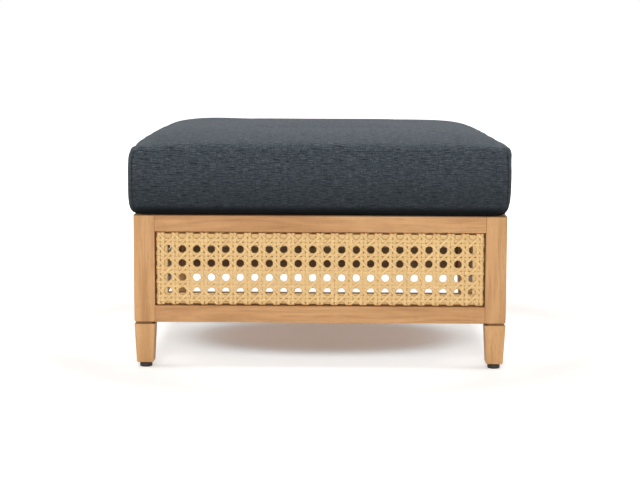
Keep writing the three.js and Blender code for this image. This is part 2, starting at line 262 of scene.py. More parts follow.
def feed(material, colour, roughness, height, depth):
    """Joins a finish's colour, roughness and relief to its material's shader."""
    bump = add(height, "ShaderNodeBump", Height=height, Distance=depth, Strength=1.0)
    join(material.node_tree.nodes["Principled BSDF"].inputs, Base_Color=colour, Roughness=roughness,
         Normal=bump.outputs[0])
    return material


def srgb(red, green, blue):
    """A colour written as 0 to 255 on screen, as the linear value that nodes use."""
    value = np.array([red, green, blue]) / 255
    value = np.where(value <= 0.04045, value / 12.92, ((value + 0.055) / 1.055) ** 2.4)
    return (*value.tolist(), 1.0)


# Teak

def grain_group():
    """Straight timber grain along Z of its vector: broad bands, wavy dark streaks, fine fibres and short pores."""
    tree, given, out = new_group(
        "timber_grain", {"Vector": "Vector", "Pale": "Color", "Deep": "Color", "Streaks": "Float"},
        {"Color": "Color", "Roughness": "Float", "Height": "Float"})
    drift = noise(given["Vector"], (9, 9, 1.6))
    sway = add(tree, "ShaderNodeCombineXYZ", X=times(drift, 0.05)).outputs[0]
    bent = add(tree, "ShaderNodeVectorMath", {"operation": "ADD"}, i0=given["Vector"], i1=sway).outputs[0]
    bands = noise(bent, (34, 34, 3.4), 3.0, 0.6, 0.5)
    streak = noise(bent, (125, 125, 5.0), 3.0, 0.6, 0.8)
    fibre = noise(bent, (900, 900, 14), 2.0, 0.6)
    pore = times(spread(noise(bent, (1500, 1500, 60), 1.0), 0.6, 0.72), 0.3)
    colour = blend(times(spread(bands, 0.34, 0.68), 0.7), given["Pale"], given["Deep"])
    colour = blend(times(spread(streak, 0.5, 0.74), given["Streaks"]), colour, given["Deep"])
    colour = dimmed(colour, plus(times(fibre, 0.16), 0.92))
    join(out, Color=blend(pore, colour, (0.13, 0.06, 0.025, 1)), Roughness=plus(times(fibre, 0.2), 0.42),
         Height=minus(times(fibre, 0.5), pore))
    return tree


timber_grain = grain_group()
ALONG = {"x": (0, QUARTER, 0), "y": (QUARTER, 0, 0), "z": (0, 0, 0)}


def teak(name, axis, pale, deep, streaks, painted_shade):
    """Oiled pale hardwood with its grain along one axis. The last argument darkens it toward dark brown: painted
    shade, a mask worked out from its place.
    """
    material, tree = new_material(name, Specular_IOR_Level=0.4)
    place = object_place(tree)
    laid = add(tree, "ShaderNodeMapping", Vector=place, Rotation=ALONG[axis]).outputs[0]
    finish = place_group(tree, timber_grain, Vector=laid, Pale=srgb(*pale), Deep=srgb(*deep), Streaks=streaks)
    # Painted shade: the mask darkens the wood toward this dark brown where shade or shadow falls.
    colour = blend(painted_shade(parts_of(place)), finish["Color"], srgb(66, 38, 20))
    return feed(material, colour, finish["Roughness"], finish["Height"], 0.0002)


# Where each painted shade or shadow on the wood comes in or goes out, as a height or a distance from the middle
TOP_SHADOW, OUTER_EDGE = (0.3052, 0.3072), (0.3662, 0.3682)
SLAT_SHADE = (0.305, 0.307)
GROOVE_MIDDLE, GROOVE_SHADE = 0.0911, (0.0018, 0.0027)
INNER_FACE = (0.3437, 0.3443)
CANE_MIDDLE, CANE_SIDE_EDGE, CANE_END_EDGE = 0.2005, (0.3244, 0.3252), (0.0725, 0.0733)


def outermost(parts):
    """The greater of the distances from the middle, left to right or front to back."""
    return greater(size_of(parts["X"]), size_of(parts["Y"]))


def painted_cushion_shadow(parts):
    """Painted shadow of the cushion on the outer edge of the frame's top, right under it: darker than the wood in the
    light.
    """
    return times(spread(parts["Z"], *TOP_SHADOW, 0.0, 0.8), spread(outermost(parts), *OUTER_EDGE))


def shade_below_tops(parts):
    """Painted shade on the cleats, and on the sides and undersides of the slats, away from the light."""
    return spread(parts["Z"], *SLAT_SHADE, 0.7, 0.0)


def shade_at_groove(parts):
    """Painted shade in the groove between a post and its foot, and on the end of the post above it."""
    return spread(size_of(minus(parts["Z"], GROOVE_MIDDLE)), *GROOVE_SHADE, 0.6, 0.0)


def shade_inside(parts):
    """Painted shade on the inner faces of the frame, away from the light."""
    return spread(outermost(parts), *INNER_FACE, 0.65, 0.0)


def either(first, second):
    """The painted shade of two kinds of place at once."""
    return lambda parts: greater(first(parts), second(parts))


def shade_round_cane(across):
    """Painted shade in the rebate round a cane panel, outside the cane's own edge, and on the frame's inner faces."""
    def mask(parts):
        upward = size_of(minus(parts["Z"], CANE_MIDDLE))
        outside = greater(spread(size_of(parts[across]), *CANE_SIDE_EDGE), spread(upward, *CANE_END_EDGE))
        return times(outside, 0.85)
    return either(mask, shade_inside)


post_teak = teak("post_teak", "z", (226, 174, 119), (184, 130, 81), 0.6, either(painted_cushion_shadow, shade_at_groove))
rail_teak = {axis: teak(f"rail_teak_{axis}", axis, (226, 173, 118), (180, 126, 77), 0.8,
                        either(painted_cushion_shadow, shade_inside)) for axis in "xy"}
foot_teak = teak("foot_teak", "z", (232, 181, 124), (206, 153, 99), 0.5, shade_at_groove)
inner_teak = {axis: teak(f"inner_teak_{axis}", axis, (208, 154, 102), (166, 114, 70), 0.6, shade_below_tops)
              for axis in "xy"}
strip_teak = {(side, axis): teak(f"strip_teak_{side}_{axis}", axis, (248, 208, 144), (232, 186, 122), 0.3,
                                 shade_round_cane(side.upper())) for side in "xy" for axis in (side, "z")}


# Cane, metal, rubber, cloth, foam

def cane_material():
    """Split cane: straw skin with long fibres and a soft gloss; painted shade darkens its edges, and more its pith
    side.
    """
    material, tree = new_material("split_cane", Specular_IOR_Level=0.5, Coat_Weight=0.12, Coat_Roughness=0.3)
    run = own_run(tree)
    fibre = noise(run, (40, 5200, 1), 2.0, 0.6)
    patch = noise(run, (22, 140, 1), 3.0, 0.6)
    tone_and_shade = add(tree, "ShaderNodeAttribute", {"attribute_name": "tone_and_shade"}).outputs["Fac"]
    colour = blend(spread(patch, 0.3, 0.75), srgb(254, 216, 152), srgb(245, 202, 135))
    # A random colour for each strand, then painted shade at the strands' edges and pith side.
    colour = blend(times(lesser(tone_and_shade, 1.0), 0.3), colour, srgb(230, 178, 110))
    colour = blend(spread(tone_and_shade, 1.0, 3.0), colour, srgb(130, 68, 28))
    colour = blend(spread(fibre, 0.52, 0.78, 0.0, 0.25), colour, srgb(150, 98, 48))
    return feed(material, colour, plus(times(fibre, 0.25), 0.36), fibre, 0.0002)


def metal_material(name, colour, roughness):
    """Plated metal: a fine drawn grain and faint blotches."""
    material, tree = new_material(name, Metallic=1.0)
    place = object_place(tree)
    drawn = noise(place, (2600, 2600, 260))
    tint = blend(spread(noise(place, 180.0, 3.0), 0.35, 0.7, 0.0, 0.3), srgb(*colour), srgb(120, 112, 104))
    return feed(material, tint, spread(drawn, 0.2, 0.8, roughness, roughness + 0.18), drawn, 0.00003)


def glide_material():
    """Black moulded plastic with a fine pebble and a dusty sole, 6 mm deep."""
    material, tree = new_material("glide_plastic")
    place = object_place(tree)
    dust = noise(place, 160.0, 4.0, 0.7)
    mask = times(spread(parts_of(place)["Z"], 0.0, 0.006, 1.0, 0.0), spread(dust, 0.4, 0.7, 0.0, 0.5))
    colour = blend(mask, srgb(38, 33, 32), srgb(104, 94, 84))
    return feed(material, colour, spread(dust, 0.2, 0.8, 0.42, 0.6), noise(place, 1900.0), 0.00006)


def weave_group():
    """Slubbed plain weave on a flat run of cloth: uneven threads both ways, flecks along the weft, a fine relief."""
    tree, given, out = new_group(
        "slub_weave", {"Vector": "Vector", "Ground": "Color", "Fleck": "Color", "Shade": "Color", "Heather": "Float"},
        {"Color": "Color", "Height": "Float", "Roughness": "Float"})
    run, heather = given["Vector"], given["Heather"]
    weft, slub, warp = (noise(run, scale, 2.0, 0.65) for scale in ((78, 880, 1), (42, 500, 3), (760, 90, 5)))
    cloud = noise(run, (9, 14, 1))
    colour = blend(times(spread(weft, 0.5, 0.66), heather), given["Ground"], given["Fleck"])
    colour = blend(times(spread(slub, 0.5, 0.68), heather), colour, given["Shade"])
    crossing = times(times(spread(warp, 0.54, 0.68), heather), 0.6)
    colour = blend(crossing, colour, given["Fleck"])
    parts = parts_of(stretched(run, (4200, 4200, 1)))
    over = times(sine(parts["X"]), sine(parts["Y"]))
    join(out, Color=dimmed(colour, plus(times(cloud, 0.14), 0.93)), Height=plus(times(over, 0.35), times(weft, 0.9)),
         Roughness=spread(weft, 0.2, 0.8, 0.78, 0.95))
    return tree


slub_weave = weave_group()
SIDE_SHADE, LAST_TURN = (0.308, 0.428), (0.3154, 0.331)
CORNER_START, CORNER_TOP = (0.34, 0.352), (0.43, 0.436)
GATHER_PITCH = 0.011


def corner_seam_shade(parts):
    """Painted shade in each upright corner seam of the cushion: a dark line, with short gathers across it."""
    x, y = size_of(parts["X"]), size_of(parts["Y"])
    off = size_of(minus(x, y))
    beat = sine(times(parts["Z"], math.tau / GATHER_PITCH))
    gathers = times(spread(beat, 0.1, 0.9), spread(off, 0.001, 0.012, 0.5, 0.0))
    line = greater(spread(off, 0.0008, 0.0035, 0.8, 0.0), gathers)
    return times(line, times(spread(lesser(x, y), *CORNER_START), spread(parts["Z"], *CORNER_TOP, 1.0, 0.0)))


def cloth_material(name, ground, fleck, shade, heather):
    """Woven cloth on its own run. Painted shade darkens it by half down the cushion's side, and more at the last turn.
    """
    material, tree = new_material(name, Sheen_Weight=0.04, Sheen_Roughness=0.6, Specular_IOR_Level=0.1)
    shade = srgb(*shade)
    finish = place_group(tree, slub_weave, Vector=own_run(tree), Ground=srgb(*ground), Fleck=srgb(*fleck),
                         Shade=shade, Heather=heather)
    parts = parts_of(object_place(tree))
    # Painted shade down the side, then near black at the last turn, where the crevice above the frame is shaded.
    colour = blend(spread(parts["Z"], *SIDE_SHADE, 0.55, 0.0), finish["Color"], shade)
    colour = blend(spread(parts["Z"], *LAST_TURN, 1.0, 0.0), colour, srgb(5, 6, 7))
    colour = blend(corner_seam_shade(parts), colour, srgb(20, 23, 26))
    return feed(material, colour, finish["Roughness"], finish["Height"], 0.00012)


def shade_under_material():
    """Near-black cloth with a fine grid of raised dots, put on the underside as painted shade of the last turn."""
    material, tree = new_material("shade_under_cloth", Specular_IOR_Level=0.1)
    dots = add(tree, "ShaderNodeTexVoronoi", Vector=object_place(tree), Scale=380.0, Randomness=0.15).outputs[0]
    colour = blend(spread(dots, 0.15, 0.45), srgb(22, 23, 25), srgb(9, 10, 11))
    return feed(material, colour, spread(dots, 0.1, 0.5, 0.62, 0.9), dots, 0.0003)


def foam_material():
    """Open-cell foam: small dark pores in a cream ground."""
    material, tree = new_material("cushion_foam_cells", Roughness=0.95)
    cells = add(tree, "ShaderNodeTexVoronoi", {"feature": "DISTANCE_TO_EDGE"}, Vector=object_place(tree),
                Scale=420.0).outputs[0]
    colour = blend(spread(cells, 0.02, 0.2), srgb(176, 160, 124), srgb(234, 224, 194))
    return feed(material, colour, None, cells, 0.0006)


split_cane = cane_material()
zinc = metal_material("zinc_plate", (178, 176, 170), 0.32)
nickel = metal_material("zip_nickel", (150, 150, 152), 0.28)
glide_plastic = glide_material()
slate_cloth = cloth_material("slate_cloth", (60, 67, 73), (104, 112, 119), (23, 27, 31), 0.84)
shade_under_cloth = shade_under_material()
tape_cloth = cloth_material("tape_cloth", (62, 68, 74), (84, 91, 98), (42, 46, 50), 0.4)
coil_nylon = cloth_material("coil_nylon", (64, 70, 76), (84, 91, 98), (44, 48, 52), 0.3)
thread = cloth_material("sewing_thread", (108, 115, 122), (134, 142, 150), (80, 86, 92), 0.3)
foam_cells = foam_material()


# Posts and feet

POST_HALF, POST_CENTRE, POST_LOW, POST_HIGH = mm(21, 349, 92.9, 307.9)
POST_OUTER_EASE, POST_INNER_EASE, END_EASE = mm(5, 1.5, 2.5)
FOOT_TOP_HALF, FOOT_TIP_HALF, FOOT_LOW, FOOT_HIGH = mm(20.75, 17, 9.9, 89.1)
FOOT_EASE, FOOT_TIP_EASE, FOOT_TOP_EASE = mm(2, 3, 1.5)
NECK_HALF, NECK_TOP = mm(15.5, 92.6)
RING_CORNERS = np.array([(1, 1), (-1, 1), (-1, -1), (1, -1)])
POST_AT = {corner: (across * POST_CENTRE, along * POST_CENTRE) for corner, (across, along) in CORNERS.items()}


def rounded_ring(half, radii, steps):
    """Points round a square of that half width, whose four corners are quarter circles of those radii."""
    angle = np.linspace(0, QUARTER, steps) + np.arange(4)[:, None] * QUARTER
    sign_x, sign_y = RING_CORNERS.T[..., None]
    radius = radii[:, None]
    x = sign_x * (half - radius) + radius * np.cos(angle)
    y = sign_y * (half - radius) + radius * np.sin(angle)
    return together(x, y).reshape(-1, 2)


def eased_prism(name, centre, levels, radii, material, steps=6):
    """A square stick: at each level (height, half width) its ring is a square with quarter-circle corners."""
    rings = [at_height(rounded_ring(half, np.minimum(radii, half * 0.9), steps) + np.array(centre), height)
             for height, half in levels]
    piece = put(name, np.stack(rings)[None], material, "frame")
    piece.data.set_sharp_from_angle(angle=math.radians(40))
    return piece


def eased_end(height, half, ease, inward):
    """Levels that round an end over a quarter circle: the half width shrinks as 1 - cos and the height runs as sin."""
    return [(height - inward * ease * (1 - math.sin(t)), half - ease * (1 - math.cos(t)))
            for t in np.linspace(0, QUARTER, 5)]


def post(corner):
    """A square post with rounded ends, whose outer upright edge is eased more than the other three."""
    top = eased_end(POST_HIGH, POST_HALF, END_EASE, 1)
    foot_end = eased_end(POST_LOW, POST_HALF, END_EASE, -1)[::-1]
    radii = np.where((RING_CORNERS == CORNERS[corner]).all(axis=1), POST_OUTER_EASE, POST_INNER_EASE)
    piece = eased_prism(f"post_{corner}_eased", POST_AT[corner], foot_end + top, radii, post_teak, 7)
    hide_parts(f"post_{corner}")


def foot(corner):
    """A tapered foot under a narrow neck, which leaves a dark groove below the post."""
    tip = eased_end(FOOT_LOW, FOOT_TIP_HALF, FOOT_TIP_EASE, -1)[::-1]
    shoulder = eased_end(FOOT_HIGH, FOOT_TOP_HALF, FOOT_TOP_EASE, 1)
    neck = [(FOOT_HIGH, NECK_HALF), (NECK_TOP, NECK_HALF)]
    piece = eased_prism(f"foot_{corner}_tapered", POST_AT[corner], tip + shoulder + neck, np.full(4, FOOT_EASE),
                        foot_teak)
    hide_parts(f"foot_{corner}")


# Glides and their stems

GLIDE_RADIUS, GLIDE_TALL = 12.5, 9.6
SOLE_EASE, CROWN_EASE = 1.6, 3.2
THREAD_PITCH, THREAD_DEPTH, PLAIN_LENGTH = mm(1.25, 0.6, 7)
STEM_EASE = np.array([0.9, 0.6, 0.3]) * MM


def turned(name, centre, profile, material, body, slot, around=48, thread=None):
    """A turned piece: the profile of (radius, height) carried round the upright axis, closed at both ends.

    A thread adds a sharp ridge that climbs one pitch each turn: depth times a triangle wave of height over pitch
    less the share of a turn.
    """
    radius, height = np.array(profile).T[..., None]
    angle = circle(around)
    if thread:
        low, high = thread
        ridge = np.abs(((height / THREAD_PITCH - angle / math.tau) % 1) * 2 - 1)
        radius = radius - np.where((height >= low) & (height <= high), THREAD_DEPTH * (1 - ridge), 0)
    points = together(centre[0] + radius * np.cos(angle), centre[1] + radius * np.sin(angle), height)
    return put(name, points[None], material, body)


def glide(corner):
    """A round glide with quarter-circle edges above and below, and its stem, a rod with a thread on its upper part."""
    turn = np.linspace(0, QUARTER, 6)
    sole = [(GLIDE_RADIUS - SOLE_EASE + SOLE_EASE * math.sin(t), SOLE_EASE - SOLE_EASE * math.cos(t)) for t in turn]
    crown = [(GLIDE_RADIUS - CROWN_EASE + CROWN_EASE * math.cos(t),
              GLIDE_TALL - CROWN_EASE + CROWN_EASE * math.sin(t)) for t in turn]
    profile = [(5.0, 0.6), (9.6, 0.6), (10.2, 0.0), *sole[1:], (GLIDE_RADIUS, 4.0), *crown, (6.5, GLIDE_TALL),
               (4.2, GLIDE_TALL)]
    centre, body = POST_AT[corner], f"leveler_{corner}"
    piece = turned(f"glide_{corner}_moulded", centre, np.array(profile) * MM, glide_plastic, body, "glide")
    piece.data.set_sharp_from_angle(angle=math.radians(50))
    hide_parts(f"glide_{corner}")
    low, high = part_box(f"glide_stem_{corner}")
    radius = np.full(150, 4 * MM)
    radius[:3] -= STEM_EASE
    radius[-3:] -= STEM_EASE[::-1]
    profile = together(radius, np.linspace(low.z, high.z, 150))
    rod = turned(f"stem_{corner}_threaded", centre, profile, zinc, body, "steel", 24,
                 (low.z + PLAIN_LENGTH, high.z))
    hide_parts(f"glide_stem_{corner}")


for corner in CORNERS:
    post(corner)
    foot(corner)
for corner in CORNERS:
    glide(corner)


# Cane panels

PITCH_ACROSS, PITCH_UP, PAIR_FIRST_UP = mm(28.76, 28.2, 140.75)
PANEL_HALF, PANEL_LOW, PANEL_HIGH, CANE_FACE = mm(325.8, 126.9, 273.8, 366)
UPRIGHT_WIDTH, CROSSING_WIDTH, DIAGONAL_WIDTH = mm(7.1, 6.6, 5.7)
UPRIGHT_OFFSET, CROSSING_OFFSET = mm(3.85, 3.6)
UPRIGHT_STATIONS, CROSSING_STATIONS, DIAGONAL_STATIONS = 62, 236, 64
PAIR_WANDER, DIAGONAL_WANDER, SHORTEST = mm(0.2, 0.3, 12)
STRAND_THICK, LIFT, BEND, WRAP = mm(0.9, 0.78, 1.0, 8.4)
HALF_STACK = LIFT + STRAND_THICK / 2
PROFILE = np.array([(-1, 0), (-0.72, -1), (0.72, -1), (1, 0), (0.6, 1), (-0.6, 1)]) * (0.5, STRAND_THICK / 2)
# Painted shade along each strand: its two edges darker, its pith side, which faces into the box, darkest.
PROFILE_SHADE = np.array([1.8, 3, 3, 1.8, 0, 0])
DIAGONAL_SNAP = 2.2


def over_one(distance):
    """Passes over one of a pair and under the other: sine times (1 + cosine) over its peak of 1.299."""
    angle = np.clip(distance * math.pi / (3 * CROSSING_OFFSET), -math.pi, math.pi)
    return LIFT / 2 * np.sin(angle) * (1 + np.cos(angle)) / 1.299


def wrapped(flat, height, edge_low, edge_high):
    """Bends flat weave round the panel's edges: past the flat it follows a quarter circle, then runs straight back.

    It takes the flat coordinate and the height over the weave's middle, and gives the coordinate in the panel's
    plane and the depth outward.
    """
    flat_low, flat_high = edge_low + HALF_STACK + BEND, edge_high - HALF_STACK - BEND
    side = np.where(flat > flat_high, 1.0, -1.0)
    excess = np.maximum(np.where(side > 0, flat - flat_high, flat_low - flat), 0)
    turn = np.minimum(excess / BEND, QUARTER)
    base = np.where(excess > 0, np.where(side > 0, flat_high, flat_low), flat)
    reach = BEND + height
    inplane = base + side * reach * np.sin(turn) * (excess > 0)
    depth = np.where(excess > 0, reach * np.cos(turn) - BEND, height)
    return inplane, depth - np.maximum(excess - BEND * QUARTER, 0)


def strands(across, up, height, width, wander):
    """Lays a flat profile along each path of the weave: across, up and height are arrays of strand by station.

    The profile's width runs square to the path in the panel's plane, with a slow random wander and roll. It gives
    the points, their place on the cane's own run, and their random colour and painted shade.
    """
    count, stations = across.shape
    along = together(np.gradient(across, axis=1), np.gradient(up, axis=1))
    step = np.linalg.norm(along, axis=-1, keepdims=True)
    along /= step
    length = np.hypot(np.ptp(across, axis=1), np.ptp(up, axis=1))
    waves = np.linspace(0, 1, stations) * (length[:, None] / (60 * MM))
    drift, roll = (np.sin(math.tau * (waves * rate + chance.random((count, 1))))[..., None] for rate in (1.0, 1.7))
    width = width * (1 + 0.05 * chance.standard_normal((count, 1, 1)))
    offset = PROFILE[:, 0] * width
    rise = PROFILE[:, 1] + offset * 0.045 * roll
    shift = wander * drift + offset
    height = height[..., None] + rise
    flat_across, depth_across = wrapped(across[..., None] - along[..., 1:] * shift, height, -PANEL_HALF, PANEL_HALF)
    flat_up, depth_up = wrapped(up[..., None] + along[..., :1] * shift, height, PANEL_LOW, PANEL_HIGH)
    points = together(flat_across, np.minimum(depth_across, depth_up), flat_up)
    start = chance.random(count)[:, None, None] * 9
    run = together(start + np.cumsum(step, axis=1), start + offset)
    tone_and_shade = np.maximum(chance.random(count)[:, None, None] ** 2, PROFILE_SHADE)
    return points, run, np.broadcast_to(tone_and_shade, points.shape[:3])


def pairs(middles, offset, along, hand, first, pitch):
    """Paths in pairs, offset to both sides of their middles: each one's place, its stations and its heights.

    The strands alternate, the first as hand says, over one and under the other of the pairs that they cross.
    """
    places = (middles[:, None] + np.array([-offset, offset])).ravel()
    stations, places = np.meshgrid(along, places)
    from_pair = stations - first - pitch * np.round((stations - first) / pitch)
    hands = np.where(np.arange(len(places)) % 2, -hand, hand)[:, None]
    return places, stations, hands * over_one(from_pair)


def weave():
    """Six-way cane weave: pairs of uprights and pairs of crossings in plain weave, and a diagonal each way.

    One diagonal passes over the crossings and under the uprights, the other the reverse, so that they cross
    between the holes, where they cut the four corners of each hole. Their height is a tanh of a cosine, which
    changes quickly between its two levels.
    """
    flat_across, flat_up = PANEL_HALF - HALF_STACK - BEND, (PANEL_HIGH - PANEL_LOW) / 2 - HALF_STACK - BEND
    reach = flat_across + WRAP
    low, high = PANEL_LOW + HALF_STACK + BEND - WRAP, PANEL_HIGH - HALF_STACK - BEND + WRAP
    across, up, height = pairs(np.arange(-11, 12) * PITCH_ACROSS, UPRIGHT_OFFSET,
                               np.linspace(low, high, UPRIGHT_STATIONS), -1.0, PAIR_FIRST_UP, PITCH_UP)
    parts = [strands(across, up, height, UPRIGHT_WIDTH, PAIR_WANDER)]
    up, across, height = pairs(PAIR_FIRST_UP + np.arange(6) * PITCH_UP, CROSSING_OFFSET,
                               np.linspace(-reach, reach, CROSSING_STATIONS), 1.0, 0, PITCH_ACROSS)
    parts.append(strands(across[:-1], up[:-1], height[:-1], CROSSING_WIDTH, PAIR_WANDER))
    middle = (low + high) / 2
    from_hole = (middle - (PAIR_FIRST_UP + PITCH_UP / 2)) / PITCH_UP * PITCH_ACROSS
    for lean in (1, -1):
        centre = np.arange(-15, 16) * PITCH_ACROSS + from_hole * lean
        slope = PITCH_ACROSS / PITCH_UP * lean
        to_edge = [(edge - centre) / slope for edge in (-flat_across, flat_across)]
        first, last = np.minimum(*to_edge), np.maximum(*to_edge)
        first = np.maximum(np.maximum(first, -flat_up) - WRAP, np.minimum(first, -flat_up))
        last = np.minimum(np.minimum(last, flat_up) + WRAP, np.maximum(last, flat_up))
        first, last, centre = (value[last - first > SHORTEST][:, None] for value in (first, last, centre))
        rise = first + (last - first) * np.linspace(0, 1, DIAGONAL_STATIONS)
        across = centre + slope * rise
        level = np.tanh(DIAGONAL_SNAP * np.cos(math.tau * across / PITCH_ACROSS)) / math.tanh(DIAGONAL_SNAP)
        parts.append(strands(across, middle + rise, -lean * LIFT * level, DIAGONAL_WIDTH, DIAGONAL_WANDER))
    return parts


def cane_panel(side):
    """Stands one woven panel on its side of the frame: the same weave turned by quarter turns."""
    turn = SIDES.index(side) * QUARTER
    points, runs, tones_and_shades, faces, first = [], [], [], [], 0
    for strand, run, tone_and_shade in weave():
        across, out, up = strand[..., 0], -(CANE_FACE - HALF_STACK + strand[..., 1]), strand[..., 2]
        world = together(across * math.cos(turn) - out * math.sin(turn),
                         across * math.sin(turn) + out * math.cos(turn), up)
        points.append(world.reshape(-1, 3))
        runs.append(run.reshape(-1, 2))
        tones_and_shades.append(tone_and_shade.ravel())
        faces.append(bar_faces(*tone_and_shade.shape) + first)
        first += tone_and_shade.size
    piece = put(f"cane_{side}_woven", np.concatenate(points), split_cane, "frame", np.concatenate(runs),
                np.concatenate(faces))
    tone_and_shade = piece.data.attributes.new("tone_and_shade", "FLOAT", "POINT")
    tone_and_shade.data.foreach_set("value", np.concatenate(tones_and_shades).astype(np.float32))
    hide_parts(f"cane_{side}")


for side in SIDES:
    cane_panel(side)


# Finishes of the parts that keep their CAD shape

def finish_node(name, material):
    """Gives a CAD part its finish without touching its shape."""
    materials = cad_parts[name].data.materials
    materials.clear()
    materials.append(material)


for side in SIDES:
    axis = "x" if side in ("front", "rear") else "y"
    finish_node(f"top_rail_{side}", rail_teak[axis])
    finish_node(f"bottom_rail_{side}", rail_teak[axis])
    for strip, way in (("top", axis), ("bottom", axis), ("left", "z"), ("right", "z")):
        finish_node(f"panel_strip_{side}_{strip}", strip_teak[axis, way])
for number in range(1, 6):
    finish_node(f"slat_{number}", inner_teak["y"])
for end in ("front", "rear"):
    finish_node(f"slat_cleat_{end}", inner_teak["x"])
for corner in CORNERS:
    finish_node(f"hanger_bolt_{corner}", zinc)
finish_node("zip_slider", nickel)
finish_node("zip_pull", nickel)


# Cushion

CUSHION_HALF, CUSHION_SHIFT, CUSHION_LOW, SEAM_HEIGHT = mm(380.2, -1.5, 308.2, 430.5)
CUSHION_TUCK, TUCK_SHARE = 11 * MM, 0.113
CUSHION_CORNER, CUSHION_DRAW, DROOP_CORNER, CORE_GAP = mm(32.5, 3, 1.2, 14)
SIDE_TUCK, SIDE_TUCK_SHARE = 2.7 * MM, 0.05
LEFT_FULL, LEFT_FULL_SHARE = 4 * MM, 0.35
SEAM_TURN, SEAM_TURN_SHARE = 4.3 * MM, 0.62
SHOULDER_RISE, SHOULDER_REACH = mm(14, 13.8)
RIGHT_SHOULDER, RIGHT_SHOULDER_WIDTH = mm(4, 13)
RIGHT_CORNER, RIGHT_CORNER_LOW, RIGHT_CORNER_RISE = mm(7, 395, 38)
CROWN, CROWN_ACROSS, CROWN_ALONG = 27.7 * MM, 13, 4.5
DROOP_LEFT, DROOP_RIGHT, DROOP_FRONT_LESS = 6 * MM, 17.8 * MM, 0.62
LEFT_RISE, LEFT_RISE_PLACE, LEFT_RISE_WIDTH = 2.8 * MM, -0.68, 0.18
LAST_TURN_HEIGHT, PAST_FRAME, HANG, HANG_HEIGHT = mm(314.4, 366.4, 1.6, 10)


def turn_in(share):
    """How far the side stands in from the widest line: an exponential below and a cube above, as shares of height."""
    above = np.maximum((share - SEAM_TURN_SHARE) / (1 - SEAM_TURN_SHARE), 0)
    return CUSHION_TUCK * np.exp(-share / TUCK_SHARE) + SEAM_TURN * above ** 3


def cushion_ring(half):
    """A square of that half width with round corners, whose sides pull in between them by (1 - s^2)^2."""
    angle = np.linspace(0, QUARTER, 15)
    straight = np.linspace(-1, 1, 34)[1:-1]
    flat_half = CUSHION_HALF - CUSHION_CORNER
    arc = flat_half + CUSHION_CORNER * together(np.cos(angle), np.sin(angle))
    side = together(-straight * flat_half, CUSHION_HALF - CUSHION_DRAW * (1 - straight ** 2) ** 2)
    parts = [np.concatenate([arc, side])]
    for _ in range(3):
        parts.append(parts[-1] @ np.array([[0, 1], [-1, 0]]))
    return np.concatenate(parts) * (half / CUSHION_HALF)


def top_height(flat, reach, limit):
    """Height of the top over its seam: a quarter ellipse at the shoulder, then a low crown (1 - |u|^13)(1 - |v|^4.5).

    reach is the way in from the seam. The ends hang by u^8, more on the right, where the hang lessens toward the
    front. The front left corner hangs by (uv)^4, and a low Gaussian rise runs from front to back on the left.
    """
    inward = np.clip(reach / SHOULDER_REACH, 0, 1)
    u, v = np.clip(flat / limit, -1, 1).T
    arch = 1 - np.abs(v) ** CROWN_ALONG
    crown = CROWN * (1 - np.abs(u) ** CROWN_ACROSS) * arch
    right = DROOP_RIGHT * (1 - DROOP_FRONT_LESS * np.clip((0.4 - v) / 1.4, 0, 1) ** 1.5)
    droop = np.where(u < 0, DROOP_LEFT, right) * u ** 8 + DROOP_CORNER * (np.minimum(u, 0) * np.minimum(v, 0)) ** 4
    rise = LEFT_RISE * bell(u - LEFT_RISE_PLACE, LEFT_RISE_WIDTH) * arch
    return SHOULDER_RISE * np.sqrt(1 - (1 - inward) ** 2) + crown + (rise - droop) * inward


def leaned(flat, share):
    """Tucks both ends in at their foot and fills the left one out, both as exponentials of the share of height."""
    across = flat[:, 0] * (1 - SIDE_TUCK * math.exp(-share / SIDE_TUCK_SHARE) / CUSHION_HALF)
    full = LEFT_FULL * math.exp(-share / LEFT_FULL_SHARE) * np.clip(-across / CUSHION_HALF, 0, 1) ** 2
    return together(across - full, flat[:, 1])


def cushion_points(shrink):
    """The cushion as one closed run of rings: the flat underside, the bulging side, then the shoulder and crown."""
    low = CUSHION_LOW + shrink
    under = CUSHION_HALF - CUSHION_TUCK - shrink
    rings = [at_height(leaned(cushion_ring(under * inner), 0), low) for inner in np.linspace(0.02, 1, 18)[:-1]]
    for share in np.linspace(0, 1, 34):
        flat = leaned(cushion_ring(CUSHION_HALF - turn_in(share) - shrink), share)
        rings.append(at_height(flat, low + (SEAM_HEIGHT - low) * share))
    seam_half = CUSHION_HALF - turn_in(1.0) - shrink
    shoulder = SHOULDER_REACH * (1 - np.cos(np.linspace(0, QUARTER, 14)))[1:]
    plateau = np.linspace(SHOULDER_REACH, seam_half * 0.98, 26)[1:]
    for reach in np.concatenate([shoulder, plateau]):
        flat = cushion_ring(seam_half - reach)
        rings.append(at_height(flat, SEAM_HEIGHT - shrink + top_height(flat, reach, seam_half)))
    return np.stack(rings)[None] + np.array([CUSHION_SHIFT, 0, 0])


# The cover's filling, seams and zip opening

VOXEL, PULL, PULL_WIDTH, HOLD_WIDTH, MOST_MOVE = mm(6, 1.5, 40, 7, 24)
FRAMES, FLAT_FACING = 20, 0.62
TOP_SEAM, UNDER_SEAM, CORNER_SEAM, CORNER_FOOT, HALF_TALL = mm(352, 345, 330, 4, 75)
SEAM_GROOVE, SEAM_WIDTH, PUCKER, RIPPLE = mm(1.1, 2.6, 0.5, 0.22)
WOBBLE_LEFT, WOBBLE_RIGHT = mm(1.1, 0.7)
ZIP_MIDDLE, ZIP_HALF, ZIP_OPEN, STITCH_OFF, TAPE_FACE = mm(373.9, 291, 6, 10, 369.6)
ZIP_DRAW, ZIP_DRAW_WIDTH, ZIP_DRAW_REACH = mm(3, 16, 315)
BACK_FROM, BACK_PAST, BACK_REACH = mm(350, 400, 305)


